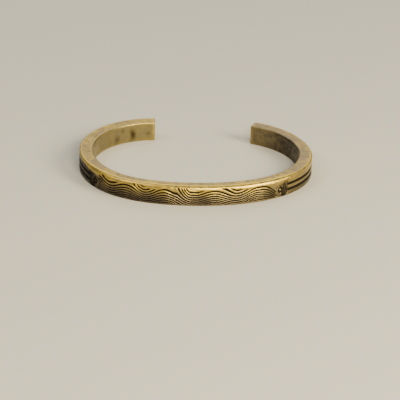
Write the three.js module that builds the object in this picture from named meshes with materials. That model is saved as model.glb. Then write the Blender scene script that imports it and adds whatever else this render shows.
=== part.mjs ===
// Cuff bracelet: one cast brass bar bent into an open C, lying on its side.
// Millimetres, +Z up. The gap between the tips faces +Y and the worked front faces -Y.
// The band is a rounded bar lofted along its centre line. The outer face carries cast relief:
// a field of flowing wave lines at the front, a comb and scroll at each end of it,
// and two long grooves along each arm.

import * as THREE from 'three';
import { mergeVertices } from 'three/addons/utils/BufferGeometryUtils.js';

// Driving sizes
const BAND_LENGTH = 151.6; // along the middle of the bar, tip to tip
const BAND_HEIGHT = 5.64; // the bar's wide side, which stands upright here
const FRONT_THICKNESS = 3.54;
const SIDE_THICKNESS = 3.93;
const TIP_THICKNESS = 4.0;
const EDGE_ROUND = 0.4; // soft edges of the bar
const SHOULDER_ROUND = 1.1; // the outer top edge, worn round along the wave field
const ARM_SHOULDER = 0.5; // the same edge along the arms, less worn
const WAVE_REACH = 27.0; // from the front middle to each end of the wave field
const WAVE_CUT = 0.26;
const PLAIN_SHOULDER = 0.95; // no wave lines nearer to the top of the bar than this, on a crest
const PLAIN_FOOT = 0.4; // the same at the bottom
const SOFT_END = 0.15; // length over which a cut runs out
const STROKE_CUT = 0.34;
const STROKE_WIDTH = 0.48;
const ARM_CUT = 0.34;
const ARM_GROOVE_WIDTH = 0.95;
const ARM_GROOVE_CLEAR = 9.0; // plain length of bar before each tip

// Bend of the centre line at even steps from the left tip to the right tip.
// A bend of 1 would close the bar into one full circle.
const BENDS = [1.466, 1.065, 0.821, 1.097, 0.42, 0.721, 1.14, 0.882, 1.207];

// Thickness against the turn from the front middle, in degrees
const THICKNESS_STOPS = [
  { turned: 0, size: FRONT_THICKNESS },
  { turned: 25, size: FRONT_THICKNESS },
  { turned: 70, size: SIDE_THICKNESS },
  { turned: 110, size: SIDE_THICKNESS },
  { turned: 150, size: TIP_THICKNESS },
];

// Wave lines that fit down the bar, and the power of the depth that their number grows with
const LINES_DOWN = 7.3;
const CROWDING = 1.4;
const LINE_SHARPNESS = 1.3; // power of the cosine wave that the lines are cut with
const SHOULDER_SWING = 0.4; // share by which the plain shoulder narrows on a fall and widens on a rise
const STEEP_FALL = 15; // lines fallen over one WAVE_REACH that give the whole swing
const LAST_CREST = 0.8; // right of this share of WAVE_REACH nothing is cut above the top line
const LAND_LEVEL = -0.5; // half a room above the top line, where the land is highest

// The fan of steep lines right of the middle: its foot and the crests beside it, as shares of
// WAVE_REACH. The fan adds lines above the crest it falls from, so the count starts afresh at its foot.
const FAN = { before: -0.207, at: 0.085, after: 0.31, lines: 3, sunk: 2.35, room: 0.97 };

// Turning points of each crest's top line, crest and trough in turn. at: share of WAVE_REACH;
// sunk: how many lines deep the top line lies; late: power that holds back the way to this point.
const WAVES = [
  { at: -1.02, sunk: 0.7, late: 1 },
  { at: -0.822, sunk: 2.82, late: 1 },
  { at: -0.626, sunk: 1.05, late: 1 },
  { at: -0.407, sunk: 3.36, late: 1.25 },
  { at: FAN.before, sunk: 0.84, late: 1 },
  { at: -0.076, sunk: 2.12, late: 1 },
  { at: FAN.at, sunk: FAN.sunk + FAN.lines * FAN.room, late: 0.6 },
  { at: FAN.at, sunk: FAN.sunk, late: 1 },
  { at: 0.133, sunk: 2.37, late: 1 },
  { at: FAN.after, sunk: 1.03, late: 0.7 },
  { at: 0.541, sunk: 3.17, late: 1 },
  { at: 0.759, sunk: 0.98, late: 1 },
  { at: 1.037, sunk: 5.2, late: 2 },
];

// Room that each line takes above the top line and below it, in lines
const ROOMS = [
  { at: -1.02, above: 1.25, below: 1.0, late: 1 },
  { at: -0.822, above: 1.25, below: 1.03, late: 1 },
  { at: -0.626, above: 1.0, below: 1.0, late: 1 },
  { at: -0.54, above: 1.4, below: 1.0, late: 1 },
  { at: -0.478, above: 0.93, below: 0.97, late: 1 },
  { at: FAN.before, above: 1.03, below: 1.03, late: 1 },
  { at: -0.111, above: 2.2, below: 0.96, late: 1 },
  { at: -0.074, above: 2.5, below: 1.25, late: 1 },
  { at: 0.06, above: FAN.room, below: FAN.room, late: 0.6 },
  { at: 0.133, above: FAN.room, below: FAN.room, late: 1 },
  { at: 0.3, above: 0.88, below: 0.88, late: 1 },
  { at: 0.426, above: 1.55, below: 0.93, late: 1 },
  { at: 0.541, above: 1.04, below: 0.97, late: 1 },
  { at: 0.759, above: 0.85, below: 0.85, late: 1 },
  { at: 0.9, above: 1.0, below: 1.0, late: 1 },
  { at: 1.037, above: 1.1, below: 1.1, late: 1 },
];

// Strokes of the end motif, measured outwards from the end of the wave field
// in shares of BAND_HEIGHT. foot and head are heights; bow bends a stroke's middle outwards.
const STROKES = [
  { foot: 0.52, head: 0.61, from: 0.0, to: 0.0, bow: 0 },
  { foot: 0.58, head: 0.64, from: 0.26, to: 0.13, bow: 0 },
  { foot: 0.07, head: 0.46, from: 0.3, to: 0.31, bow: 0.01 },
  { foot: 0.05, head: 0.83, from: 0.39, to: 0.47, bow: -0.02 },
  { foot: 0.08, head: 0.83, from: 0.51, to: 0.59, bow: -0.01 },
  { foot: 0.15, head: 0.87, from: 0.63, to: 0.72, bow: -0.01 },
];
// Hollow eye and the ring of the scroll, in shares of BAND_HEIGHT
const EYE = { along: -0.02, up: 0.15, radius: 0.05 };
const RING = { along: 0.205, up: 0.4, radius: 0.115, width: 0.1 };
const ARM_GROOVES = [{ up: 0.58 }, { up: 0.29 }];
const ARM_GROOVE_START = 0.75; // share of BAND_HEIGHT beyond the end of the wave field
const ARM_GROOVE_EASE = 0.1; // the same, over which the grooves set in
const ARM_GROOVE_FADE = 0.1; // share of ARM_GROOVE_CLEAR over which they run out, to each side
const SHOULDER_FROM = 0.3; // share of BAND_HEIGHT beyond the field where the outer top edge grows crisper
const SHOULDER_TO = 1.5; // and where it has its size along the arms
// A groove keeps its full depth to the first share of its width and is gone at the second
const GROOVE_BED = 0.1;
const GROOVE_BRINK = 0.62;
const STROKE_TAPER = 0.45; // a stroke is narrower at its head by this share

// Mesh steps along the bar, and rows round its section
const FIELD_STEP = WAVE_REACH / 43;
const STEEP_STEP = WAVE_REACH / 72;
const MOTIF_STEP = BAND_HEIGHT / 21;
const ARM_STEP = BAND_LENGTH / 48;
const STEEP_FROM = -0.1; // stretch of the steep step, as shares of WAVE_REACH
const STEEP_TO = 0.09;
const MOTIF_FROM = 0.96; // where the motif step begins, the same
const LEVEL_FROM = 0.8; // where the rows begin to level out before it, the same
const FACE_ROWS = 23;
const SHOULDER_STEPS = 6;
const ROUND_STEPS = 3;

const clamp = THREE.MathUtils.clamp;
const smooth = THREE.MathUtils.smoothstep;

// Value between the stops of a table, eased so that every stop is level
function eased(stops, key, x, column) {
  if (x <= stops[0][key]) return stops[0][column];
  for (let i = 1; i < stops.length; i += 1) {
    const a = stops[i - 1];
    const b = stops[i];
    if (x <= b[key]) {
      const t = Math.pow((x - a[key]) / (b[key] - a[key]), b.late || 1);
      const ease = (1 - Math.cos(Math.PI * t)) / 2;
      return a[column] + (b[column] - a[column]) * ease;
    }
  }
  return stops[stops.length - 1][column];
}

// Curvature of the centre line at a share of its length
function curvature(share) {
  const spans = BENDS.length - 1;
  const place = clamp(share, 0, 1) * spans;
  const i = Math.min(Math.floor(place), spans - 1);
  const bend = BENDS[i] + (BENDS[i + 1] - BENDS[i]) * (place - i);
  return (bend * 2 * Math.PI) / BAND_LENGTH;
}

function thickness(heading) {
  const turned = Math.abs(THREE.MathUtils.radToDeg(heading));
  return eased(THICKNESS_STOPS, 'turned', turned, 'size');
}

// Walks outwards from the front middle. side is -1 to the left and 1 to the right.
// face is the distance along the outer face, which the relief is laid out on.
function walkArm(side) {
  const steps = 1500;
  const ds = BAND_LENGTH / 2 / steps;
  const walk = [];
  let x = 0;
  let y = 0;
  let heading = 0;
  let face = 0;
  for (let i = 0; i <= steps; i += 1) {
    const t = thickness(heading);
    walk.push({ x, y, heading, face: side * face, t, run: side * i * ds });
    const bend = curvature(0.5 + (side * (i + 0.5)) / steps / 2);
    const mid = heading + (side * bend * ds) / 2;
    x += side * Math.cos(mid) * ds;
    y += side * Math.sin(mid) * ds;
    heading += side * bend * ds;
    face += ds * (1 + (bend * t) / 2);
  }
  return walk;
}

// Distance between stations at a place on the outer face
function stationStep(face) {
  const away = Math.abs(face);
  const at = face / WAVE_REACH;
  if (at > STEEP_FROM && at < STEEP_TO) return STEEP_STEP;
  if (Math.abs(at) < MOTIF_FROM) return FIELD_STEP;
  if (away < WAVE_REACH + ARM_GROOVE_START * BAND_HEIGHT) return MOTIF_STEP;
  return ARM_STEP;
}

// Stations of one arm, thinned from the walk, the tip last
function armStations(side) {
  const walk = walkArm(side);
  const tip = walk[walk.length - 1];
  const stations = [walk[0]];
  for (const here of walk) {
    const last = stations[stations.length - 1];
    const far = Math.abs(here.run - last.run) >= stationStep(last.face);
    const clearOfTip = Math.abs(tip.run - here.run) > 2 * EDGE_ROUND;
    if (far && clearOfTip) stations.push(here);
  }
  // The rounded end of the bar
  for (let k = 0; k <= ROUND_STEPS; k += 1) {
    const angle = ((1 - k / ROUND_STEPS) * Math.PI) / 2;
    const back = EDGE_ROUND * (1 - Math.cos(angle));
    const cosTip = Math.cos(tip.heading) * side;
    const sinTip = Math.sin(tip.heading) * side;
    const inset = EDGE_ROUND * (1 - Math.sin(angle));
    const out = EDGE_ROUND - back;
    stations.push({ ...tip, x: tip.x - cosTip * out, y: tip.y - sinTip * out, inset });
  }
  return stations;
}

// How many lines deep the top line has sunk since the first crest, the fan's new lines counted in
function fallen(at) {
  const added = at > FAN.at ? FAN.lines * FAN.room : 0;
  return eased(WAVES, 'at', at, 'sunk') + added;
}

// Depth of cut of the wave lines: level sets of one flowing height field. The lines start
// high on the shoulder where they fall to the right and stop early where they rise.
function waveCut(face, depth) {
  const at = face / WAVE_REACH;
  const lines = LINES_DOWN * Math.pow(depth / BAND_HEIGHT, CROWDING);
  const over = lines - eased(WAVES, 'at', at, 'sunk');
  const room = eased(ROOMS, 'at', at, over < 0 ? 'above' : 'below');
  const level = Math.max(over / room, at > LAST_CREST ? LAND_LEVEL : -LINES_DOWN);
  const line = (1 + Math.cos(2 * Math.PI * level)) / 2;
  const beside = 0.01; // a hundredth of WAVE_REACH to each side, for the slope
  const fall = (fallen(at + beside) - fallen(at - beside)) / (2 * beside);
  const shoulder = PLAIN_SHOULDER * (1 - SHOULDER_SWING * clamp(fall / STEEP_FALL, -1, 1));
  const below = smooth(depth, shoulder - SOFT_END, shoulder + SOFT_END);
  const above = smooth(BAND_HEIGHT - depth, PLAIN_FOOT - SOFT_END, PLAIN_FOOT + SOFT_END);
  const toEnd = WAVE_REACH - Math.abs(face);
  const inside = smooth(toEnd, SOFT_END, 4 * SOFT_END);
  return WAVE_CUT * Math.pow(line, LINE_SHARPNESS) * below * above * inside;
}

// A groove with a round bottom: full depth on its line, nothing at half its width
function groove(distance, width, cut) {
  return cut * (1 - smooth(distance, GROOVE_BED * width, GROOVE_BRINK * width));
}

function strokeCut(beyond, up) {
  let cut = 0;
  for (const s of STROKES) {
    const t = clamp((up - s.foot) / (s.head - s.foot), 0, 1);
    const bow = s.bow * 4 * t * (1 - t);
    const across = beyond - (s.from + (s.to - s.from) * t + bow);
    const past = up - (s.foot + (s.head - s.foot) * t);
    const distance = Math.hypot(across, past) * BAND_HEIGHT;
    const width = STROKE_WIDTH * (1 - STROKE_TAPER * t);
    cut = Math.max(cut, groove(distance, width, STROKE_CUT));
  }
  return cut;
}

function scrollCut(beyond, up) {
  const toEye = Math.hypot(beyond - EYE.along, up - EYE.up);
  const toRing = Math.hypot(beyond - RING.along, up - RING.up) - RING.radius;
  const eye = groove(toEye, EYE.radius * 2, STROKE_CUT);
  const ring = groove(Math.abs(toRing), RING.width, STROKE_CUT);
  return Math.max(eye, ring);
}

function armCut(beyond, up, beforeTip) {
  const start = smooth(beyond, ARM_GROOVE_START - ARM_GROOVE_EASE, ARM_GROOVE_START);
  const fade = ARM_GROOVE_FADE * ARM_GROOVE_CLEAR;
  const end = smooth(beforeTip, ARM_GROOVE_CLEAR - fade, ARM_GROOVE_CLEAR + fade);
  let cut = 0;
  for (const g of ARM_GROOVES) {
    const distance = Math.abs(up - g.up) * BAND_HEIGHT;
    cut = Math.max(cut, groove(distance, ARM_GROOVE_WIDTH, ARM_CUT));
  }
  return cut * start * end;
}

// All relief of the outer face at a station and a height
function reliefCut(station, z) {
  const depth = Math.max(BAND_HEIGHT - z, 0);
  const up = z / BAND_HEIGHT;
  const beyond = (Math.abs(station.face) - WAVE_REACH) / BAND_HEIGHT;
  const beforeTip = BAND_LENGTH / 2 - Math.abs(station.run);
  return Math.max(
    waveCut(station.face, depth),
    strokeCut(beyond, up),
    scrollCut(beyond, up),
    armCut(beyond, up, beforeTip),
  );
}

// Radius of the outer top edge at a place on the outer face
function shoulderRound(face) {
  const beyond = (Math.abs(face) - WAVE_REACH) / BAND_HEIGHT;
  return SHOULDER_ROUND + (ARM_SHOULDER - SHOULDER_ROUND) * smooth(beyond, SHOULDER_FROM, SHOULDER_TO);
}

// Height of a row of the outer face. The rows swing with the waves so that they run along the lines.
function rowHeight(share, face) {
  const at = face / WAVE_REACH;
  const carried = FAN.lines * FAN.room * smooth(at, FAN.before, FAN.after);
  const swing = (fallen(at) - carried - 1) / LINES_DOWN;
  const within = 1 - smooth(Math.abs(at), LEVEL_FROM, MOTIF_FROM);
  const held = (Math.sin(Math.PI * share) * within) / 2;
  const low = EDGE_ROUND;
  const high = BAND_HEIGHT - shoulderRound(face);
  return low + (high - low) * share - BAND_HEIGHT * swing * held;
}

// One closed section of the bar: pairs of (outwards, up), running from the foot up the outer face
function section(station) {
  const inset = station.inset || 0;
  const half = station.t / 2;
  const points = [];
  const corner = (cx, cz, radius, from, steps) => {
    for (let k = 0; k <= steps; k += 1) {
      const a = from + ((k / steps) * Math.PI) / 2;
      points.push([cx + radius * Math.cos(a), cz + radius * Math.sin(a)]);
    }
  };
  const r = EDGE_ROUND;
  const shoulder = shoulderRound(station.face);
  const top = BAND_HEIGHT;
  corner(half - r, r, r, -Math.PI / 2, ROUND_STEPS);
  for (let j = 1; j < FACE_ROWS; j += 1) points.push([half, rowHeight(j / FACE_ROWS, station.face)]);
  corner(half - shoulder, top - shoulder, shoulder, 0, SHOULDER_STEPS);
  // The relief, on the outer face and over the shoulder
  for (let j = ROUND_STEPS + 1; j < points.length; j += 1) points[j][0] -= reliefCut(station, points[j][1]);
  corner(-half + r, top - r, r, Math.PI / 2, ROUND_STEPS);
  corner(-half + r, r, r, Math.PI, ROUND_STEPS);
  // At a tip the section draws in towards the middle of the bar
  const wide = (half - inset) / half;
  const tall = (top / 2 - inset) / (top / 2);
  return points.map(([out, z]) => [out * wide, top / 2 + (z - top / 2) * tall]);
}

function place(station, [out, z]) {
  const x = station.x + Math.sin(station.heading) * out;
  const y = station.y - Math.cos(station.heading) * out;
  return [x, y, z];
}

function bandGeometry() {
  const left = armStations(-1).slice(1).reverse();
  const stations = [...left, ...armStations(1)];
  const rings = stations.map((s) => section(s).map((p) => place(s, p)));
  const count = rings[0].length;
  const positions = rings.flat(2);
  const index = [];
  for (let i = 0; i + 1 < rings.length; i += 1) {
    for (let j = 0; j < count; j += 1) {
      const a = i * count + j;
      const b = i * count + ((j + 1) % count);
      index.push(a, a + count, b, b, a + count, b + count);
    }
  }
  // Flat ends, each a fan round its own middle
  for (const [i, flip] of [[0, false], [rings.length - 1, true]]) {
    const middle = positions.length / 3;
    const s = stations[i];
    positions.push(...place(s, [0, BAND_HEIGHT / 2]));
    for (let j = 0; j < count; j += 1) {
      const a = i * count + j;
      const b = i * count + ((j + 1) % count);
      if (flip) index.push(middle, b, a);
      else index.push(middle, a, b);
    }
  }
  const geometry = new THREE.BufferGeometry();
  geometry.setAttribute('position', new THREE.Float32BufferAttribute(positions, 3));
  geometry.setIndex(index);
  return geometry;
}

// Puts the middle of the bounding box over the origin, the foot on the floor
function centreOnFloor(geometry) {
  geometry.computeBoundingBox();
  const { min, max } = geometry.boundingBox;
  geometry.translate(-(min.x + max.x) / 2, -(min.y + max.y) / 2, -min.z);
  return geometry;
}

function cuff() {
  const geometry = centreOnFloor(mergeVertices(bandGeometry(), 1e-5));
  geometry.computeVertexNormals();
  const brass = new THREE.MeshStandardMaterial({ color: 0xb09566, metalness: 1, roughness: 0.45 });
  const mesh = new THREE.Mesh(geometry, brass);
  mesh.name = 'cuff';
  return mesh;
}

const bracelet = new THREE.Group();
bracelet.name = 'cuff_bracelet';
bracelet.add(cuff());
export default bracelet;
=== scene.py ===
"""Looks of the cuff bracelet: a cast brass bar bent into an open C, aged and worn, lying on its side.

The bar is worked out with numpy as a section carried along a bent centre line, in millimetres, and
put into the mesh in metres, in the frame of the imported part. Its outer face is cut with flowing wave
lines, a comb and scroll at each end of them, and two grooves along each arm.
"""

import math

import bpy
import numpy as np
from mathutils import Matrix, Vector


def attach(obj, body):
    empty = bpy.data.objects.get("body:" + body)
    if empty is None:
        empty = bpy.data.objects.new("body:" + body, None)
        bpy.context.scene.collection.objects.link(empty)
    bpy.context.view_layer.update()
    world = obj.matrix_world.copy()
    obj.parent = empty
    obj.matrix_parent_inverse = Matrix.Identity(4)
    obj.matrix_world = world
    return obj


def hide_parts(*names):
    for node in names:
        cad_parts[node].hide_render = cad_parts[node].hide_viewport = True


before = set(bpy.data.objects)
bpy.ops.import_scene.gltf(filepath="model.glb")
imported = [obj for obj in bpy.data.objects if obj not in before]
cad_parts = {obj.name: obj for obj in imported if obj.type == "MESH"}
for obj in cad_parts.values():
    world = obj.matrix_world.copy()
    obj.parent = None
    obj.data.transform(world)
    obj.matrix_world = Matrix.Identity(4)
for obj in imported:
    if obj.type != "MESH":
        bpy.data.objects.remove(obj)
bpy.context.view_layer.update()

MM = 0.001

# Sizes of the bar, in millimetres, as all lengths are up to the floor. The outer top edge is worn round
# along the waves and grows crisper along the arms, between two shares of the height beyond the waves.
BAND_LENGTH = 151.6
BAND_HEIGHT = 5.64
FRONT_THICKNESS = 3.54
SIDE_THICKNESS = 3.93
TIP_THICKNESS = 4.0
EDGE_ROUND = 0.4
SHOULDER_ROUND = 1.1
ARM_SHOULDER = 0.5
SHOULDER_FROM = 0.3
SHOULDER_TO = 1.5

# Bend of the centre line at even steps from the left tip to the right tip, where 1 would close a
# circle, and the number of steps that the line is summed in
BENDS = (1.466, 1.065, 0.821, 1.097, 0.42, 0.721, 1.14, 0.882, 1.207)
WALK_STEPS = 6000

# Turn from the front middle in degrees, thickness
THICKNESS_STOPS = (
    (0, FRONT_THICKNESS),
    (25, FRONT_THICKNESS),
    (70, SIDE_THICKNESS),
    (110, SIDE_THICKNESS),
    (150, TIP_THICKNESS),
)

# Wave lines: how far they reach to each side, how many fit down the bar, the power of the depth that
# their number grows with, the power of the cosine wave that they are cut with, and their depth
WAVE_REACH = 27.0
LINES_DOWN = 7.3
CROWDING = 1.4
LINE_SHARPNESS = 1.3
WAVE_CUT = 0.26

# Plain shoulder above them, the share that it gains or loses where they are steep, the lines fallen
# over one reach that count as steep, and the share of the reach to each side that this is taken over
PLAIN_SHOULDER = 0.95
SHOULDER_SWING = 0.4
STEEP_FALL = 15
FALL_STEP = 0.01

# Plain foot below the waves, half the length over which a line runs out at the shoulder and the foot,
# and how far from the ends of the field the lines are whole
PLAIN_FOOT = 0.4
SOFT_END = 0.15
FIELD_END = 4 * SOFT_END

# Foot of the fan of steep lines: its place, the lines it adds, how deep it lies, the room of a line
FAN_FOOT = 0.085
FAN_LINES = 3
FAN_SUNK = 2.35
FAN_ROOM = 0.97

# Top line of each crest and trough in turn: place as a share of the reach, how many lines deep it
# lies, and the power that holds back the way to it. The count starts afresh at the fan's foot.
WAVES = (
    (-1.02, 0.7, 1),
    (-0.822, 2.82, 1),
    (-0.626, 1.05, 1),
    (-0.407, 3.36, 1.25),
    (-0.207, 0.84, 1),
    (-0.076, 2.12, 1),
    (FAN_FOOT, FAN_SUNK + FAN_LINES * FAN_ROOM, 0.6),
    (FAN_FOOT, FAN_SUNK, 1),
    (0.133, 2.37, 1),
    (0.31, 1.03, 0.7),
    (0.541, 3.17, 1),
    (0.759, 0.98, 1),
    (1.037, 5.2, 2),
)

# Room that each line takes: place, room above the top line, room below it, power
ROOMS = (
    (-1.02, 1.25, 1.0, 1),
    (-0.822, 1.25, 1.03, 1),
    (-0.626, 1.0, 1.0, 1),
    (-0.54, 1.4, 1.0, 1),
    (-0.478, 0.93, 0.97, 1),
    (-0.207, 1.03, 1.03, 1),
    (-0.111, 2.2, 0.96, 1),
    (-0.074, 2.5, 1.25, 1),
    (0.06, FAN_ROOM, FAN_ROOM, 0.6),
    (0.133, FAN_ROOM, FAN_ROOM, 1),
    (0.3, 0.88, 0.88, 1),
    (0.426, 1.55, 0.93, 1),
    (0.541, 1.04, 0.97, 1),
    (0.759, 0.85, 0.85, 1),
    (0.9, 1.0, 1.0, 1),
    (1.037, 1.1, 1.1, 1),
)

# Right of this share of the reach nothing is cut above the top line, where the land is highest
LAST_CREST = 0.8
LAND_LEVEL = -0.5

# A groove keeps its full depth to the first share of its width and is gone at the second
GROOVE_BED = 0.1
GROOVE_BRINK = 0.62

# Strokes of an end motif in shares of the bar's height: foot, head, from, to, bow
STROKES = (
    (0.52, 0.61, 0.0, 0.0, 0.0),
    (0.58, 0.64, 0.26, 0.13, 0.0),
    (0.07, 0.46, 0.3, 0.31, 0.01),
    (0.05, 0.83, 0.39, 0.47, -0.02),
    (0.08, 0.83, 0.51, 0.59, -0.01),
    (0.15, 0.87, 0.63, 0.72, -0.01),
)
STROKE_CUT = 0.34
STROKE_WIDTH = 0.48
STROKE_TAPER = 0.45

# Hollow eye and ring of the scroll, in the same shares: place along and up, radius
EYE = (-0.02, 0.15, 0.05)
RING = (0.205, 0.4, 0.115)
RING_WIDTH = 0.1

# Arm grooves: their heights, and where they start and how they set in, as shares of the bar's height;
# the plain length before the tip, and the share of it over which they run out to each side
ARM_GROOVES = (0.58, 0.29)
ARM_GROOVE_START = 0.75
ARM_GROOVE_EASE = 0.1
ARM_GROOVE_CLEAR = 9.0
ARM_GROOVE_FADE = 0.1
ARM_GROOVE_WIDTH = 0.95
ARM_CUT = 0.34

# Swells of the casting: wavelength along the bar, turns round it, size, start in radians
SWELLS = (
    (31.0, 1, 0.018, 0.4),
    (17.0, 2, 0.014, 1.9),
    (8.3, 3, 0.009, 4.0),
    (4.7, 2, 0.005, 2.2),
)

# Mesh steps where the bar is carved and elsewhere, the length past the motifs that counts as carved,
# the length at each tip that its rounded rings take, and the size of the last ring on the flat end
CARVED_STEP = 0.115
PLAIN_STEP = 0.6
PAST_MOTIF = 1.0
TIP_ROUND = 1.3 * EDGE_ROUND
ROUND_RINGS = 7
FLAT_RINGS = 6
LAST_RING = 0.02

# Points round the section
EDGE_POINTS = 6
OUTER_POINTS = 70
SHOULDER_POINTS = 20
TOP_POINTS = 6
INNER_POINTS = 10
FOOT_POINTS = 5

# A point of the section whose side is past this lies on the outer face, or with a minus on the inner
ON_SIDE = 0.99

# Numbers that the mesh hands to the material, one of each for every vertex, and their values on the
# flat ends where these aren't zero, with the share of shrinking over which they come in
# Among these masks, some paint shade on the upright faces, dark and grey shade on the outer face and the
# right arm's inside, and a highlight along with the wear on the edges; the flat ends carry some painted shade
# too
MASKS = ("cut", "edge", "shaded_upright", "painted_shade", "marks", "grey_shade")
END_FINISH = {"shaded_upright": 0.6, "painted_shade": 0.2}
END_BLEND = 0.1

# Each pair from here to the grey says where a change begins and where it is over: a depth below the
# top, or a place along the outer face or along the bar.

# Painted shade low on the outer face, a little thinner from the middle to the right
LOW_RISES = (1.6, BAND_HEIGHT)
LOW_SHADE = 0.84
LOW_THINS = (-16.0, 0.0)
LOW_THINNED = 0.24

# Painted shade over the left arm's outside, thinner on its far part
LEFT_ENDS = (-30.0, -20.0)
LEFT_THINS = (50.0, 66.0)
LEFT_THINNED = 0.6

# Painted shade over the end motifs; and the depths, in radii of the shoulder, at which each painted shade on
# the outer face is whole and at which it begins
MOTIF_MIDDLE = WAVE_REACH + 0.47 * BAND_HEIGHT
MOTIF_SPREAD = 1.7
MOTIF_SHADE = 0.85
SHADE_BELOW = (2.0, 0.4)

# Painted shade over the right arm's inside, thinner near the tip
INSIDE_RISES = (37.0, 53.0)
INSIDE_SHADE = 0.9
TIP_THINS = (60.0, 72.0)
TIP_THINNED = 0.45

# Grey painted shade low on the front, less to the right, and on top of the right arm
GREY_SHADE_RISES = (SHOULDER_ROUND, BAND_HEIGHT)
FRONT_GREY_SHADE = 0.85
GREY_SHADE_THINS = (0.0, WAVE_REACH)
GREY_SHADE_THINNED = 0.5
TOP_GREY_SHADE_RISES = (24.0, 44.0)
TOP_GREY_SHADE = 0.5

# Worn bright with a painted highlight: the inner edges by this share, the tips, and a painted highlight on
# the lands under the front's top edge
INNER_RUB = 0.4
TIP_RUBS = (BAND_LENGTH / 2 - 3 * EDGE_ROUND, BAND_LENGTH / 2 - 1.5 * EDGE_ROUND)
LAND_HIGHLIGHT_FADES = (1.2, 3.4)
LAND_HIGHLIGHT_RISES = (-25.0, -13.0)
LAND_HIGHLIGHT_THINS = (8.0, WAVE_REACH)
LAND_HIGHLIGHT_THINNED = 0.8

# Painted shade of the upright faces: how much of the inner face's darker grey the outer face has, the depth
# at which this begins as a share of the shoulder's radius, and the depth at which it is whole
OUTER_UPRIGHT_SHADE = 0.85
UPRIGHT_SHADE_FROM = 0.5
UPRIGHT_SHADE_TO = 3.4

# Stains inside the left arm: place along the bar, height, size; the crescent's turn and spread in radians
CRESCENT = (-67.1, 2.1, 1.3)
CRESCENT_WIDTH = 1.0
CRESCENT_TURN = 0.2
CRESCENT_SPREAD = 1.4
STAIN_SPOTS = ((-73.5, 2.4, 0.6), (-62.2, 1.8, 1.1), (-64.6, 3.9, 0.6))
SPOT_DARKNESS = 0.6

# Colours of the worn brass, of what has grown on it, and of the painted shade and highlight
WORN = "#C8AA4C"
OXIDE = "#A28C54"
MOTTLE = "#6E6040"
STAIN = "#86705C"
# Painted shade: the darker, greyer brass of the upright faces
UPRIGHT_SHADE = "#8A8262"
# Worn bright brass, also the colour of the painted highlight on the shoulder and upper lands
RUB_AND_HIGHLIGHT = "#E4C658"
# Dark painted shade
PAINTED_SHADE = "#24211F"
# Grey painted shade
GREY_SHADE = "#7E7069"
MARK = "#2E220F"
PATINA = "#19130B"

# Patterns of the brass: size of the features in millimetres, detail, roughness
PATTERNS = {
    "clouds": (6.0, 4.0, 0.55),
    "stain": (3.6, 3.0, 0.55),
    "mottle": (1.4, 5.0, 0.6),
    "speck": (0.5, 3.0, 0.6),
    "grain": (0.22, 2.0, 0.55),
}

# Layers over the worn brass in turn: what shows each, its values where the layer sets in and where it
# is whole, how much the layer then covers, and its colour
LAYERS = (
    ("clouds", 0.4, 0.6, 1.0, OXIDE),
    ("mottle", 0.48, 0.62, 0.7, MOTTLE),
    ("stain", 0.52, 0.64, 0.6, STAIN),
    # Painted shade: a darker, greyer copy of the brass on the upright faces
    ("shaded_upright", 0.0, 1.0, 0.72, UPRIGHT_SHADE),
    # Worn edges and tips, with a painted highlight on the shoulder and the front's upper lands
    ("rub_and_highlight", 0.0, 1.0, 1.0, RUB_AND_HIGHLIGHT),
    # Grey painted shade, from the grey layer and from part of the dark painted shade
    ("greyed_shade", 0.0, 1.0, 0.8, GREY_SHADE),
    # Dark painted shade over the lands
    ("painted_shade", 0.1, 1.0, 0.93, PAINTED_SHADE),
    ("marks", 0.05, 0.9, 0.85, MARK),
    ("patina", 0.0, 1.0, 1.0, PATINA),
)

# How the mottle breaks up the worn edges with their painted highlight and the dark painted shade, and changes
# the
# roughness: its values from and to, and what they turn into
RUB_AND_HIGHLIGHT_BREAKS = (0.35, 0.6, 0.1, 0.75)
SHADE_BREAKS = (0.3, 0.7, 0.8, 1.15)
ROUGHNESS = (0.3, 0.7, 0.3, 0.46)

# Share of the dark painted shade that also greys the brass, what the specks add to a cut, the depths of cut
# that hold no patina and full patina, the roughness that patina and the dark painted shade add, and how
# metallic patina is
SHADE_DULLS = 0.8
SPECKS_IN_CUT = 0.3
PATINA_RISES = (0.28, 0.68)
PATINA_ROUGHER = 0.25
SHADE_ROUGHER = 0.1
PATINA_METAL = 0.8

# Bumps of the surface: height in millimetres, strength
GRAIN_BUMP = (0.02, 0.3)
MOTTLE_BUMP = (0.07, 0.4)

# Floor: half its width in metres, colour, roughness
FLOOR_HALF = 3.0
FLOOR_COLOUR = "#C0BFBC"
FLOOR_ROUGHNESS = 0.9

# Soft boxes, in metres and watts: name, place, width, power, colour. Each faces the origin.
SOFT_BOXES = (
    ("right_soft_box", (0.45, -0.28, 0.30), 0.25, 5.6, "#FFEFC4"),
    ("front_soft_box", (0.16, -0.52, 0.32), 0.18, 4.0, "#FFEFC4"),
    ("left_soft_box", (-0.35, -0.15, 0.5), 0.4, 1.7, "#FFF1D0"),
    ("overhead_soft_box", (0.0, 0.45, 0.45), 0.5, 1.8, "#FFF7DC"),
)
ROOM_COLOUR = "#E6E8EC"
ROOM_LIGHT = 0.3

# The view of the photograph: angles in degrees, lengths in millimetres, picture places in pixels
PICTURE = 400
FOCAL_PIXELS = 2200.0
VIEW_YAW = -1.68
VIEW_ELEVATION = 22.01
VIEW_ROLL = -1.41
VIEW_DISTANCE = 623.03
VIEW_CENTRE = (187.61, 170.68)
VIEW_FRONT_BACK = 24.0
SENSOR = 36.0
CLIP_START = 10.0


def linear(hex_colour):
    """sRGB hex turned to linear red, green, blue, alpha: the standard curve with its straight foot."""
    parts = [int(hex_colour[i : i + 2], 16) / 255 for i in (1, 3, 5)]
    return [p / 12.92 if p <= 0.04045 else ((p + 0.055) / 1.055) ** 2.4 for p in parts] + [1.0]


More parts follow.
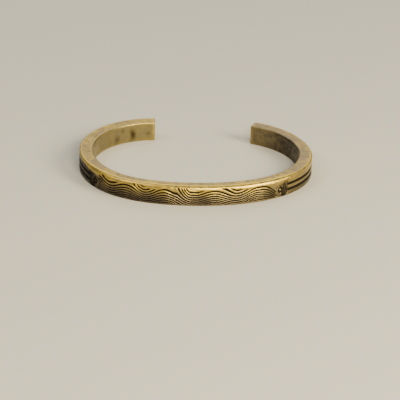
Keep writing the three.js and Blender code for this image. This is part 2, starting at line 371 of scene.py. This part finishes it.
def smooth(x, low, high):
    """0 below low, 1 above high, and the cubic 3t2 - 2t3 between."""
    t = np.clip((x - low) / (high - low), 0, 1)
    return t * t * (3 - 2 * t)


def bell(x, centre, width):
    """A bell curve: 1 at its centre, 0.37 at one width away."""
    return np.exp(-(((x - centre) / width) ** 2))


def eased(x, stops, column, late=None):
    """Value between table stops, half a cosine wave from each to the next, so every stop is level.

    late is the column of the power that the share of the way is raised to. Two stops may share a
    place, where the value jumps.
    """
    no_width = 1e-9
    places = np.array([s[0] for s in stops], float)
    values = np.array([s[column] for s in stops], float)
    i = np.clip(np.searchsorted(places, x) - 1, 0, len(places) - 2)
    width = np.maximum(places[i + 1] - places[i], no_width)
    t = np.clip((x - places[i]) / width, 0, 1)
    if late is not None:
        t = t ** np.array([s[late] for s in stops], float)[i + 1]
    return values[i] + (values[i + 1] - values[i]) * (1 - np.cos(np.pi * t)) / 2


def centre_line():
    """The bar's centre line: the heading is the running sum of the curvature, the place that of the heading.

    Returns columns run, x, y, heading, thickness, face (distance along the outer face), all but the
    thickness zero at the front middle.
    """
    step = BAND_LENGTH / WALK_STEPS
    run = np.linspace(-BAND_LENGTH / 2, BAND_LENGTH / 2, WALK_STEPS + 1)
    middle = WALK_STEPS // 2
    share = (np.arange(WALK_STEPS) + 0.5) / WALK_STEPS
    bend = np.interp(share, np.linspace(0, 1, len(BENDS)), BENDS) * 2 * math.pi / BAND_LENGTH
    heading = np.concatenate([[0], np.cumsum(bend * step)])
    heading -= heading[middle]
    half_way = (heading[:-1] + heading[1:]) / 2
    x = np.concatenate([[0], np.cumsum(np.cos(half_way) * step)])
    y = np.concatenate([[0], np.cumsum(np.sin(half_way) * step)])
    thick = eased(np.abs(np.degrees(heading)), THICKNESS_STOPS, 1)
    mean_thick = (thick[:-1] + thick[1:]) / 2
    face = np.concatenate([[0], np.cumsum(step * (1 + bend * mean_thick / 2))])
    columns = [run, x - x[middle], y - y[middle], heading, thick, face - face[middle]]
    return dict(zip(("run", "x", "y", "heading", "thick", "face"), columns))


def fallen(at):
    """How many lines deep the top line has sunk since the first crest, the fan's new lines counted in."""
    return eased(at, WAVES, 1, late=2) + np.where(at > FAN_FOOT, FAN_LINES * FAN_ROOM, 0)


def wave_lines(face, depth):
    """Wave lines as level sets: a groove wherever (lines - sunk) / room is a whole number.

    lines counts down the bar as a power of the depth. The lines start high on the shoulder where
    they fall to the right and stop early where they rise.
    """
    at = face / WAVE_REACH
    over = LINES_DOWN * (depth / BAND_HEIGHT) ** CROWDING - eased(at, WAVES, 1, late=2)
    room = np.where(over < 0, eased(at, ROOMS, 1, late=3), eased(at, ROOMS, 2, late=3))
    level = np.maximum(over / room, np.where(at > LAST_CREST, LAND_LEVEL, -LINES_DOWN))
    line = (1 + np.cos(2 * np.pi * level)) / 2
    fall = (fallen(at + FALL_STEP) - fallen(at - FALL_STEP)) / (2 * FALL_STEP)
    shoulder = PLAIN_SHOULDER * (1 - SHOULDER_SWING * np.clip(fall / STEEP_FALL, -1, 1))
    below = smooth(depth - shoulder, -SOFT_END, SOFT_END)
    above = smooth(BAND_HEIGHT - depth - PLAIN_FOOT, -SOFT_END, SOFT_END)
    inside = smooth(WAVE_REACH - np.abs(face), SOFT_END, FIELD_END)
    return line**LINE_SHARPNESS * below * above * inside


def groove(distance, width):
    """A round-bottomed groove: 1 on its line, falling smoothly to 0 a little past half its width."""
    return 1 - smooth(distance, GROOVE_BED * width, GROOVE_BRINK * width)


def strokes(beyond, up):
    """The comb of an end motif: each stroke is a bowed line from foot to head, narrower at its head."""
    cut = np.zeros_like(beyond)
    for foot, head, start, end, bow in STROKES:
        t = np.clip((up - foot) / (head - foot), 0, 1)
        across = beyond - (start + (end - start) * t + bow * 4 * t * (1 - t))
        past = up - (foot + (head - foot) * t)
        distance = np.hypot(across, past) * BAND_HEIGHT
        cut = np.maximum(cut, groove(distance, STROKE_WIDTH * (1 - STROKE_TAPER * t)))
    return cut


def scroll(beyond, up):
    """The scroll: a round hollow, and a ring beside it, both by distance from a point."""
    to_eye = np.hypot(beyond - EYE[0], up - EYE[1])
    to_ring = np.hypot(beyond - RING[0], up - RING[1]) - RING[2]
    return np.maximum(groove(to_eye, EYE[2] * 2), groove(np.abs(to_ring), RING_WIDTH))


def arm_grooves(beyond, up, before_tip):
    """Two long grooves at set heights, from the end motif to a plain stretch before the tip."""
    start = smooth(beyond, ARM_GROOVE_START - ARM_GROOVE_EASE, ARM_GROOVE_START)
    gone = (1 - ARM_GROOVE_FADE) * ARM_GROOVE_CLEAR
    whole = (1 + ARM_GROOVE_FADE) * ARM_GROOVE_CLEAR
    end = smooth(before_tip, gone, whole)
    cut = np.zeros_like(up + beyond)
    for height in ARM_GROOVES:
        cut = np.maximum(cut, groove(np.abs(up - height) * BAND_HEIGHT, ARM_GROOVE_WIDTH))
    return cut * start * end


def relief(run, face, z):
    """Depth of cut in millimetres, and how deep that is as a share of a full groove."""
    depth = np.maximum(BAND_HEIGHT - z, 0)
    beyond, up = np.broadcast_arrays((np.abs(face) - WAVE_REACH) / BAND_HEIGHT, z / BAND_HEIGHT)
    waves = wave_lines(face, depth)
    comb = np.maximum(strokes(beyond, up), scroll(beyond, up))
    arms = arm_grooves(beyond, up, BAND_LENGTH / 2 - np.abs(run))
    cut = np.maximum.reduce([waves * WAVE_CUT, comb * STROKE_CUT, arms * ARM_CUT])
    return cut, np.maximum.reduce([waves, comb, arms])


def stations(line):
    """Stations along the bar, close together where it is carved, with rings for its rounded, flat ends.

    Returns the place along the bar, how far the ring is drawn in from the sides, and its scale.
    """
    carved = WAVE_REACH + ARM_GROOVE_START * BAND_HEIGHT + PAST_MOTIF
    spacing = np.where(np.abs(line["face"]) < carved, CARVED_STEP, PLAIN_STEP)
    count = np.concatenate([[0], np.cumsum(np.diff(line["run"]) / spacing[1:])])
    where = np.linspace(0, count[-1], int(round(count[-1])) + 1)
    along = np.interp(where, count, line["run"])
    along = along[np.abs(along) < BAND_LENGTH / 2 - TIP_ROUND]
    angle = np.linspace(0, np.pi / 2, ROUND_RINGS)
    shrink = np.linspace(1, LAST_RING, FLAT_RINGS)[1:]
    # One end from its first rounded ring to the middle of its flat face; the other mirrors it
    before_end = EDGE_ROUND * (1 - np.sin(angle))
    end_run = BAND_LENGTH / 2 - np.append(before_end, np.zeros(len(shrink)))
    end_inset = np.append(EDGE_ROUND * (1 - np.cos(angle)), np.full(len(shrink), EDGE_ROUND))
    end_scale = np.append(np.ones(len(angle)), shrink)
    run = np.concatenate([-end_run[::-1], along, end_run])
    inset = np.concatenate([end_inset[::-1], np.zeros(len(along)), end_inset])
    scale = np.concatenate([end_scale[::-1], np.ones(len(along)), end_scale])
    return run[:, None], inset[:, None], scale[:, None]


def section(shoulder):
    """Sections of the bar, one for each shoulder radius given, anticlockwise from the outer face's foot.

    Each point is side * half the thickness + offset outwards, and a height: quarter circles at the
    corners, even rows on the flats. Offset and height are a part that holds on the whole bar plus a
    part that the shoulder radius multiplies. Returns side, offset, height and the kind of each point.
    """
    side, offset, height, kind, out_by, up_by = [], [], [], [], [], []

    def arc(at_side, radius, start, centre_height):
        angle = start + np.linspace(0, np.pi / 2, EDGE_POINTS)
        side.extend([at_side] * EDGE_POINTS)
        offset.extend(-at_side * radius + radius * np.cos(angle))
        height.extend(centre_height + radius * np.sin(angle))
        kind.extend(["edge"] * EDGE_POINTS)
        out_by.extend([0] * EDGE_POINTS)
        up_by.extend([0] * EDGE_POINTS)

    def worn_arc():
        angle = np.linspace(0, np.pi / 2, SHOULDER_POINTS)
        side.extend([1] * SHOULDER_POINTS)
        offset.extend([0] * SHOULDER_POINTS)
        height.extend([top] * SHOULDER_POINTS)
        kind.extend(["edge"] * SHOULDER_POINTS)
        out_by.extend(np.cos(angle) - 1)
        up_by.extend(np.sin(angle) - 1)

    def flat(sides, offsets, heights, rows, name, out_first=0, up_last=0):
        t = (np.arange(rows) + 1) / (rows + 1)
        side.extend(sides[0] + (sides[1] - sides[0]) * t)
        offset.extend(offsets[0] + (offsets[1] - offsets[0]) * t)
        height.extend(heights[0] + (heights[1] - heights[0]) * t)
        kind.extend([name] * rows)
        out_by.extend(out_first * (1 - t))
        up_by.extend(up_last * t)

    top = BAND_HEIGHT
    radius = EDGE_ROUND
    arc(1, radius, -np.pi / 2, radius)
    flat((1, 1), (0, 0), (radius, top), OUTER_POINTS, "outer", up_last=-1)
    worn_arc()
    flat((1, -1), (0, radius), (top, top), TOP_POINTS, "top", out_first=-1)
    arc(-1, radius, np.pi / 2, top - radius)
    flat((-1, -1), (0, 0), (top - radius, radius), INNER_POINTS, "inner")
    arc(-1, radius, np.pi, radius)
    flat((-1, 1), (radius, -radius), (0, 0), FOOT_POINTS, "foot")
    offset = np.array(offset) + np.array(out_by) * shoulder
    height = np.array(height) + np.array(up_by) * shoulder
    return np.array(side, float), offset, height, np.array(kind)


def unevenness(run, around):
    """Slow swells of a hand-finished casting: sine waves along and round the bar, all sunk by their sum."""
    swell = np.zeros(np.broadcast(run, around).shape)
    for length, turn, size, start in SWELLS:
        swell = swell + size * (np.sin(2 * np.pi * run / length + turn * around + start) - 1)
    return swell


def painted_shade_cover(run, face, z, shoulder, inner, outer):
    """Where dark painted shade lies over the lands, from 0 to 1.

    It grows down the outer face, covers the left arm's outside and the end motifs, thins out on the
    far part of that arm, and lies over the right arm's inside.
    """
    low = smooth(BAND_HEIGHT - z, *LOW_RISES)
    low = low * (LOW_SHADE - LOW_THINNED * smooth(face, *LOW_THINS))
    left = 1 - smooth(face, *LEFT_ENDS)
    left = left * (1 - LEFT_THINNED * smooth(-run, *LEFT_THINS))
    motif = MOTIF_SHADE * bell(np.abs(face), MOTIF_MIDDLE, MOTIF_SPREAD)
    fully_below, at_edge = SHADE_BELOW
    below_edge = 1 - smooth(z, BAND_HEIGHT - fully_below * shoulder, BAND_HEIGHT - at_edge * shoulder)
    on_outside = np.maximum.reduce(np.broadcast_arrays(low, left, motif)) * below_edge
    on_inside = INSIDE_SHADE * smooth(run, *INSIDE_RISES) * (1 - TIP_THINNED * smooth(run, *TIP_THINS))
    return on_outside * outer + on_inside * inner


def grey_shade_cover(run, face, z, on_top, outer):
    """Where grey-brown painted shade lies, from 0 to 1: low on the front, and on top of the right arm."""
    low = FRONT_GREY_SHADE * smooth(BAND_HEIGHT - z, *GREY_SHADE_RISES) * (1 - GREY_SHADE_THINNED * smooth(face, *GREY_SHADE_THINS))
    return low * outer + TOP_GREY_SHADE * smooth(run, *TOP_GREY_SHADE_RISES) * on_top


def rub_and_highlight_cover(run, face, z, side, edge, outer):
    """Where the brass is worn bright and where a highlight is painted, from 0 to 1: worn edges with a painted
    highlight on the outer shoulder, worn tips, and a painted highlight on lands under the front's top edge.
    """
    edges = edge * np.where(side > 0, 1.0, INNER_RUB)
    tip = smooth(np.abs(run), *TIP_RUBS)
    land_highlight = outer * (1 - smooth(BAND_HEIGHT - z, *LAND_HIGHLIGHT_FADES)) * smooth(face, *LAND_HIGHLIGHT_RISES)
    land_highlight = land_highlight * (1 - LAND_HIGHLIGHT_THINNED * smooth(face, *LAND_HIGHLIGHT_THINS))
    return np.maximum.reduce(np.broadcast_arrays(edges, tip, land_highlight))


def stains(run, z):
    """Old stains inside the left arm: a crescent, which is a ring's side towards the tip, and small spots."""
    along, up = CRESCENT[0] - run, z - CRESCENT[1]
    ring = bell(np.hypot(along, up), CRESCENT[2], CRESCENT_WIDTH)
    crescent = ring * bell(np.arctan2(up, along), CRESCENT_TURN, CRESCENT_SPREAD)
    spots = [bell(np.hypot(run - at, z - height), 0, size) for at, height, size in STAIN_SPOTS]
    return np.maximum.reduce([crescent, *(SPOT_DARKNESS * spot for spot in spots)])


def band_grid():
    """The whole bar: the section carried along the centre line, its outer face cut by the relief.

    A point stands outwards from the centre line by side * half thickness + offset - cut, along the
    line's own normal (sin heading, -cos heading), at its height above the floor. Returns the points,
    their places along the bar and round it, and the masks.
    """
    line = centre_line()
    run, inset, scale = stations(line)
    names = ("x", "y", "heading", "thick", "face")
    x, y, heading, thick, face = (np.interp(run, line["run"], line[name]) for name in names)
    crisper = smooth((np.abs(face) - WAVE_REACH) / BAND_HEIGHT, SHOULDER_FROM, SHOULDER_TO)
    shoulder = SHOULDER_ROUND + (ARM_SHOULDER - SHOULDER_ROUND) * crisper
    side, offset, height, kind = section(shoulder)
    inner = side < -ON_SIDE
    outer = (side > ON_SIDE) & (kind != "foot") & (kind != "top")
    cut, share = relief(run, face, height)
    around = np.linspace(0, 2 * np.pi, len(side), endpoint=False)

    half = thick / 2
    middle = BAND_HEIGHT / 2
    out = side * half + offset
    out = out - cut * outer + unevenness(run, around) * np.sign(out) * (np.abs(side) > ON_SIDE)
    out = out * ((half - inset) / half * scale)
    z = middle + (height - middle) * ((middle - inset) / middle * scale)
    points = np.stack([x + np.sin(heading) * out, y - np.cos(heading) * out, z], -1)

    # Painted shade on the outer face below the shoulder, a share of the upright faces' darker grey
    upright_shading = OUTER_UPRIGHT_SHADE * smooth(BAND_HEIGHT - z, UPRIGHT_SHADE_FROM * shoulder, UPRIGHT_SHADE_TO)
    masks = {
        "cut": share * outer,
        # Worn edges and tips, with a painted highlight on the outer shoulder and on the upper lands of the
        # front
        "edge": rub_and_highlight_cover(run, face, z, side, kind == "edge", outer),
        # Painted shade: the upright faces darker and greyer than the top
        "shaded_upright": inner + upright_shading * outer,
        # Dark painted shade low on the outer face, over the left arm's outside and the end motifs, and inside
        # the right arm
        "painted_shade": painted_shade_cover(run, face, z, shoulder, inner, outer),
        "marks": stains(run, z) * inner,
        # Grey painted shade low on the front and on top of the right arm
        "grey_shade": grey_shade_cover(run, face, z, kind == "top", outer),
    }
    # The flat ends are finished alike all over, whatever the sides beside them carry
    on_end = smooth(1 - scale, 0, END_BLEND)
    for name in MASKS:
        masks[name] = masks[name] * (1 - on_end) + END_FINISH.get(name, 0) * on_end

    profile = offset[0] + side * half[0]
    around_mm = np.concatenate([[0], np.cumsum(np.hypot(np.diff(profile), np.diff(height[0])))])
    places = np.stack(np.broadcast_arrays(run, around_mm), -1)
    return points, places, masks


def tube_faces(rings, count):
    """Quads between each ring and the next, and one closing polygon at each end."""
    i, j = np.meshgrid(np.arange(rings - 1), np.arange(count), indexing="ij")
    k = (j + 1) % count
    quads = np.stack([i * count + j, (i + 1) * count + j, (i + 1) * count + k, i * count + k], -1)
    first = list(range(count))
    last = [(rings - 1) * count + n for n in reversed(range(count))]
    return quads.reshape(-1, 4).tolist() + [first, last]


def attribute(mesh, name, values):
    """One number for each vertex, which the material reads."""
    layer = mesh.attributes.new(name, "FLOAT", "POINT")
    layer.data.foreach_set("value", np.ascontiguousarray(values, np.float32).ravel())


def lay_uv(mesh, places):
    """A UV map in metres, along the bar and round it."""
    corner = np.zeros(len(mesh.loops), np.int32)
    mesh.loops.foreach_get("vertex_index", corner)
    uv = mesh.uv_layers.new(name="bar")
    uv.data.foreach_set("uv", (places.reshape(-1, 2)[corner] * MM).astype(np.float32).ravel())


def make_cuff(material):
    """Puts the bar's grid into a mesh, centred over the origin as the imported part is."""
    points, places, masks = band_grid()
    rings, count = points.shape[:2]
    points = points.reshape(-1, 3) * MM
    low, high = points.min(0), points.max(0)
    points -= [(low[0] + high[0]) / 2, (low[1] + high[1]) / 2, low[2]]
    mesh = bpy.data.meshes.new("cuff_band")
    mesh.from_pydata(points, [], tube_faces(rings, count))
    mesh.polygons.foreach_set("use_smooth", np.ones(len(mesh.polygons), bool))
    for name in MASKS:
        attribute(mesh, name, masks[name])
    lay_uv(mesh, places)
    mesh.materials.append(material)
    mesh.validate()
    piece = bpy.data.objects.new("cuff_band", mesh)
    bpy.context.scene.collection.objects.link(piece)
    return piece, (low, high)


def add(tree, kind, inputs=None, **settings):
    """Adds a node. settings are its own properties; inputs are values or output sockets by name or number."""
    node = tree.nodes.new(kind)
    for name, value in settings.items():
        setattr(node, name, value)
    for name, value in (inputs or {}).items():
        if isinstance(value, bpy.types.NodeSocket):
            tree.links.new(value, node.inputs[name])
        else:
            node.inputs[name].default_value = value
    return node


def new_material(name):
    """An empty material and its node tree."""
    material = bpy.data.materials.new(name)
    material.use_nodes = True
    material.node_tree.nodes.clear()
    return material, material.node_tree


def blend(tree, amount, below, above):
    """Mixes two colours by an amount; each may be a colour or a socket."""
    return add(tree, "ShaderNodeMix", {0: amount, 6: below, 7: above}, data_type="RGBA").outputs[2]


def spread(tree, value, low, high, to_low=0.0, to_high=1.0):
    """Maps low..high to to_low..to_high, clamped."""
    return add(tree, "ShaderNodeMapRange", {0: value, 1: low, 2: high, 3: to_low, 4: to_high}).outputs[0]


def compute(tree, a, b, operation):
    """Two numbers or sockets added, multiplied or compared, as the operation says."""
    return add(tree, "ShaderNodeMath", {0: a, 1: b}, operation=operation).outputs[0]


def noise(tree, where, size_mm, detail, roughness):
    """Noise whose features are about size_mm across: its scale is one over that size in metres."""
    settings = {"Vector": where, "Scale": 1 / (size_mm * MM), "Detail": detail, "Roughness": roughness}
    return add(tree, "ShaderNodeTexNoise", settings).outputs[0]


def brass_signals(tree):
    """What the layers of the brass are shown by: the mesh's masks, the patterns, and mixes of them."""
    place = add(tree, "ShaderNodeTexCoord").outputs["Object"]
    signals = {name: add(tree, "ShaderNodeAttribute", attribute_name=name).outputs["Fac"] for name in MASKS}
    for name, (size_mm, detail, roughness) in PATTERNS.items():
        signals[name] = noise(tree, place, size_mm, detail, roughness)
    # Worn edges with their painted highlight broken up unevenly, dark painted shade broken by the mottle, and
    # grey painted shade from part of the dark one and from the grey one
    rub_and_highlight_breaks = spread(tree, signals["mottle"], *RUB_AND_HIGHLIGHT_BREAKS)
    shade_breaks = spread(tree, signals["mottle"], *SHADE_BREAKS)
    signals["rub_and_highlight"] = compute(tree, signals["edge"], rub_and_highlight_breaks, "MULTIPLY")
    signals["painted_shade"] = compute(tree, signals["painted_shade"], shade_breaks, "MULTIPLY")
    shade_dulls = compute(tree, signals["painted_shade"], SHADE_DULLS, "MULTIPLY")
    signals["greyed_shade"] = compute(tree, shade_dulls, signals["grey_shade"], "MAXIMUM")
    # Patina in the grooves, fuller where a speck lies
    specks = compute(tree, signals["speck"], SPECKS_IN_CUT, "MULTIPLY")
    signals["patina"] = spread(tree, compute(tree, signals["cut"], specks, "ADD"), *PATINA_RISES)
    return signals


def brass_roughness(tree, signals):
    """Satin roughness that varies with the mottle, higher under patina and under the dark painted shade."""
    rough = spread(tree, signals["mottle"], *ROUGHNESS)
    for name, rougher in (("patina", PATINA_ROUGHER), ("painted_shade", SHADE_ROUGHER)):
        rough = compute(tree, rough, compute(tree, signals[name], rougher, "MULTIPLY"), "ADD")
    return rough


def brass_bump(tree, signals):
    """Fine casting grain with the pits of the mottle over it."""
    inputs = {}
    for name, (height_mm, strength) in (("grain", GRAIN_BUMP), ("mottle", MOTTLE_BUMP)):
        inputs.update({"Height": signals[name], "Strength": strength, "Distance": height_mm * MM})
        inputs["Normal"] = add(tree, "ShaderNodeBump", inputs).outputs[0]
    return inputs["Normal"]


def aged_brass():
    """Cast brass, worn satin: warm, with worn edges and a painted highlight on the shoulder and upper lands,
    dark brown patina in the grooves, and painted shade on the upright faces, low on the front and over the
    left arm's outside.
    """
    material, tree = new_material("aged_cast_brass")
    signals = brass_signals(tree)
    colour = linear(WORN)
    for name, sets_in, whole, cover, layer_colour in LAYERS:
        shown = spread(tree, signals[name], sets_in, whole, 0, cover)
        colour = blend(tree, shown, colour, linear(layer_colour))
    shader = add(tree, "ShaderNodeBsdfPrincipled", {
        "Base Color": colour,
        "Metallic": spread(tree, signals["patina"], 0, 1, 1, PATINA_METAL),
        "Roughness": brass_roughness(tree, signals),
        "Normal": brass_bump(tree, signals),
    })
    add(tree, "ShaderNodeOutputMaterial", {"Surface": shader.outputs[0]})
    return material


def floor_material():
    """Matt pale board."""
    material, tree = new_material("pale_matt_board")
    inputs = {"Base Color": linear(FLOOR_COLOUR), "Roughness": FLOOR_ROUGHNESS}
    shader = add(tree, "ShaderNodeBsdfPrincipled", inputs)
    add(tree, "ShaderNodeOutputMaterial", {"Surface": shader.outputs[0]})
    return material


def make_floor():
    """A flat square under everything, at the height the cuff rests on."""
    half = FLOOR_HALF
    mesh = bpy.data.meshes.new("floor")
    corners = [(-half, -half, 0), (half, -half, 0), (half, half, 0), (-half, half, 0)]
    mesh.from_pydata(corners, [], [(0, 1, 2, 3)])
    mesh.materials.append(floor_material())
    floor = bpy.data.objects.new("floor", mesh)
    bpy.context.scene.collection.objects.link(floor)


def make_camera(low, high):
    """The photograph's view: turned by yaw, tipped, rolled, then aimed at the picture's middle."""
    yaw, up, roll = (math.radians(a) for a in (VIEW_YAW, VIEW_ELEVATION, VIEW_ROLL))
    turn = Matrix.Rotation(yaw, 3, "Z").transposed()
    right = turn @ Vector((1, 0, 0))
    forward = turn @ Vector((0, math.cos(up), -math.sin(up)))
    above = turn @ Vector((0, math.sin(up), math.cos(up)))
    axis_x = math.cos(roll) * right - math.sin(roll) * above
    axis_y = math.sin(roll) * right + math.cos(roll) * above
    centre_x = (low[0] + high[0]) / 2
    centre_y = (low[1] + high[1]) / 2
    aim_at = Vector((-centre_x, VIEW_FRONT_BACK * MM - centre_y, 0))
    place = aim_at - VIEW_DISTANCE * MM * forward
    off_x, off_y = (PICTURE / 2 - at for at in VIEW_CENTRE)
    aim = off_x * axis_x - off_y * axis_y + FOCAL_PIXELS * forward
    back = -aim.normalized()
    axis_x = axis_y.cross(back).normalized()
    axis_y = back.cross(axis_x)
    camera = bpy.data.cameras.new("photograph_view")
    camera.sensor_width = SENSOR
    camera.lens = FOCAL_PIXELS * SENSOR / PICTURE
    camera.clip_start = CLIP_START * MM
    viewer = bpy.data.objects.new("photograph_view", camera)
    axes = Matrix((axis_x, axis_y, back)).transposed()
    viewer.matrix_world = Matrix.Translation(place) @ axes.to_4x4()
    bpy.context.scene.collection.objects.link(viewer)
    bpy.context.scene.camera = viewer


def soft_box(name, place, width, watts, colour):
    """A square area light at a place, facing the origin."""
    light = bpy.data.lights.new(name, "AREA")
    light.size = width
    light.energy = watts
    light.color = linear(colour)[:3]
    box = bpy.data.objects.new(name, light)
    facing = (-Vector(place)).to_track_quat("-Z", "Y").to_matrix().to_4x4()
    box.matrix_world = Matrix.Translation(place) @ facing
    bpy.context.scene.collection.objects.link(box)


def make_lights():
    """Soft boxes at the front right, front and left, a wide one above the back, and an even dim room."""
    for name, place, width, watts, colour in SOFT_BOXES:
        soft_box(name, place, width, watts, colour)
    world = bpy.data.worlds.new("dim_room")
    world.use_nodes = True
    background = world.node_tree.nodes["Background"]
    background.inputs["Color"].default_value = linear(ROOM_COLOUR)
    background.inputs["Strength"].default_value = ROOM_LIGHT
    bpy.context.scene.world = world


band, (plan_low, plan_high) = make_cuff(aged_brass())
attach(band, "root")
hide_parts("cuff")
make_floor()
make_camera(plan_low, plan_high)
make_lights()
